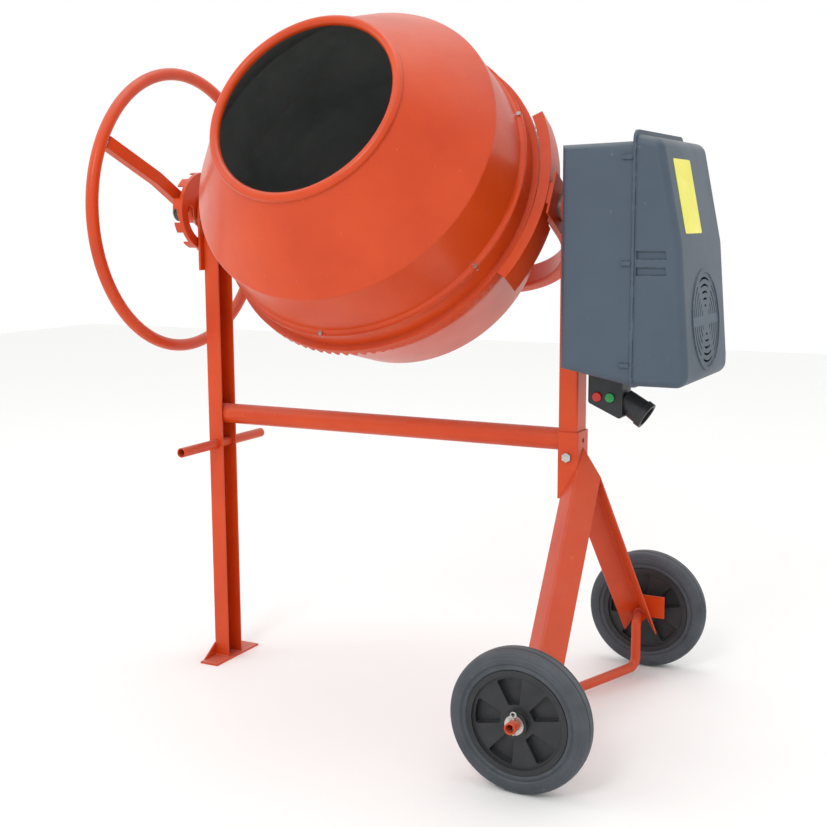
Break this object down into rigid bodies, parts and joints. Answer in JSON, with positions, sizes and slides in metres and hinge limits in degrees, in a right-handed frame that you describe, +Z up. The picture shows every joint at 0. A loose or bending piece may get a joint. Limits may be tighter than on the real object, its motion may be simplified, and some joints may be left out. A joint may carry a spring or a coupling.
{
  "type": "concrete mixer",
  "caption": "Tilting-drum electric concrete mixer on a two-wheeled stand, with tipping handwheel, locking disc, ring-gear drive and a side drive box.",
  "frame": {"origin": "on the ground, at the middle of the overall length and depth, below the tilt axis", "axes": "+X from the tipping handwheel to the drive box along the tilt axis, -Y towards the side that the drum's mouth faces, +Z up"},
  "size_m": [1.1563, 0.801, 1.3336],
  "materials": {
    "orange_paint": "satin",
    "blue_grey_plastic": "satin",
    "black_plastic": "satin",
    "tyre_rubber": "matte",
    "bare_steel": "satin",
    "zinc": "satin",
    "cast_gear": "matte",
    "drum_inside": "matte",
    "belt_rubber": "matte",
    "motor_grey": "satin",
    "red_plastic": "gloss",
    "green_plastic": "gloss",
    "label_yellow": "satin",
    "bronze": "satin"
  },
  "bodies": {
    "stand": {"left_upright": "orange_paint", "left_foot": "orange_paint", "right_upright": "orange_paint", "leg_sleeve": "orange_paint", "front_leg": "orange_paint", "rear_leg": "orange_paint", "front_axle_bracket": "orange_paint", "rear_axle_bracket": "orange_paint", "cranked_axle": "orange_paint", "axle_washers": "zinc", "split_pins": "zinc", "tie_bar": "orange_paint", "pull_handle": "orange_paint", "left_bearing_block": "orange_paint", "right_bearing_block": "orange_paint", "trunnion_bushes": "bronze", "locking_disc": "orange_paint", "stand_bolts": "zinc", "box_shell": "blue_grey_plastic", "box_cover": "blue_grey_plastic", "box_clips": "blue_grey_plastic", "label_plate": "label_yellow", "motor_bracket": "orange_paint", "motor_body": "motor_grey", "fan_cap": "black_plastic", "drive_belt": "belt_rubber", "switch_body": "black_plastic", "power_inlet": "black_plastic", "inlet_pins": "zinc"},
    "yoke_assembly": {"yoke": "orange_paint", "left_shaft": "bare_steel", "right_trunnion": "bare_steel", "drum_spindle": "bare_steel", "pinion_bearings": "bare_steel", "gear_guard": "orange_paint", "trunnion_plate": "orange_paint", "lock_spring": "bare_steel", "spring_washer": "zinc"},
    "handwheel": {"handwheel_ring": "orange_paint", "handwheel_spoke": "orange_paint", "handwheel_hub": "orange_paint"},
    "drum": {"drum_upper": "orange_paint", "drum_lower": "orange_paint", "flange_bolts": "zinc", "mixing_blade_1": "drum_inside", "mixing_blade_2": "drum_inside", "drum_hub": "orange_paint", "drum_bearings": "bare_steel", "ring_gear": "orange_paint"},
    "pinion_drive": {"pinion": "cast_gear", "pinion_shaft": "bare_steel", "big_pulley": "black_plastic"},
    "motor_rotor": {"motor_pulley": "bare_steel", "cooling_fan": "black_plastic"},
    "front_wheel": {"front_tyre": "tyre_rubber", "front_hub": "black_plastic"},
    "rear_wheel": {"rear_tyre": "tyre_rubber", "rear_hub": "black_plastic"},
    "stop_push": {"stop_button": "red_plastic"},
    "start_push": {"start_button": "green_plastic"}
  },
  "joints": [
    {"name": "yoke_tilt", "type": "hinge", "parent": "stand", "child": "yoke_assembly", "pos_m": [-0.058, 0, 0.967], "axis": [1, 0, 0], "range_deg": [-72, 72]},
    {"name": "handwheel_pull", "type": "slide", "parent": "yoke_assembly", "child": "handwheel", "axis": [-1, 0, 0], "range_m": [-0.014, 0.01]},
    {"name": "drum_spin", "type": "hinge", "parent": "yoke_assembly", "child": "drum", "pos_m": [-0.058, 0, 0.967], "axis": [0, -0.8704, 0.4924], "continuous": true},
    {"name": "pinion_spin", "type": "hinge", "parent": "yoke_assembly", "child": "pinion_drive", "pos_m": [0.3, 0, 0.967], "axis": [1, 0, 0], "continuous": true},
    {"name": "motor_spin", "type": "hinge", "parent": "stand", "child": "motor_rotor", "pos_m": [0.45, 0, 0.772], "axis": [1, 0, 0], "continuous": true},
    {"name": "front_wheel_spin", "type": "hinge", "parent": "stand", "child": "front_wheel", "pos_m": [0.372, -0.35, 0.125], "axis": [0, 1, 0], "continuous": true},
    {"name": "rear_wheel_spin", "type": "hinge", "parent": "stand", "child": "rear_wheel", "pos_m": [0.372, 0.35, 0.125], "axis": [0, 1, 0], "continuous": true},
    {"name": "stop_button_press", "type": "slide", "parent": "stand", "child": "stop_push", "axis": [0, 1, 0], "range_m": [0, 0.003], "stiffness_N_per_m": 500},
    {"name": "start_button_press", "type": "slide", "parent": "stand", "child": "start_push", "axis": [0, 1, 0], "range_m": [0, 0.003], "stiffness_N_per_m": 500}
  ],
  "couplings": [
    {"joint": "pinion_spin", "follows": "drum_spin", "ratio": -9},
    {"joint": "motor_spin", "follows": "drum_spin", "ratio": -103.5}
  ]
}
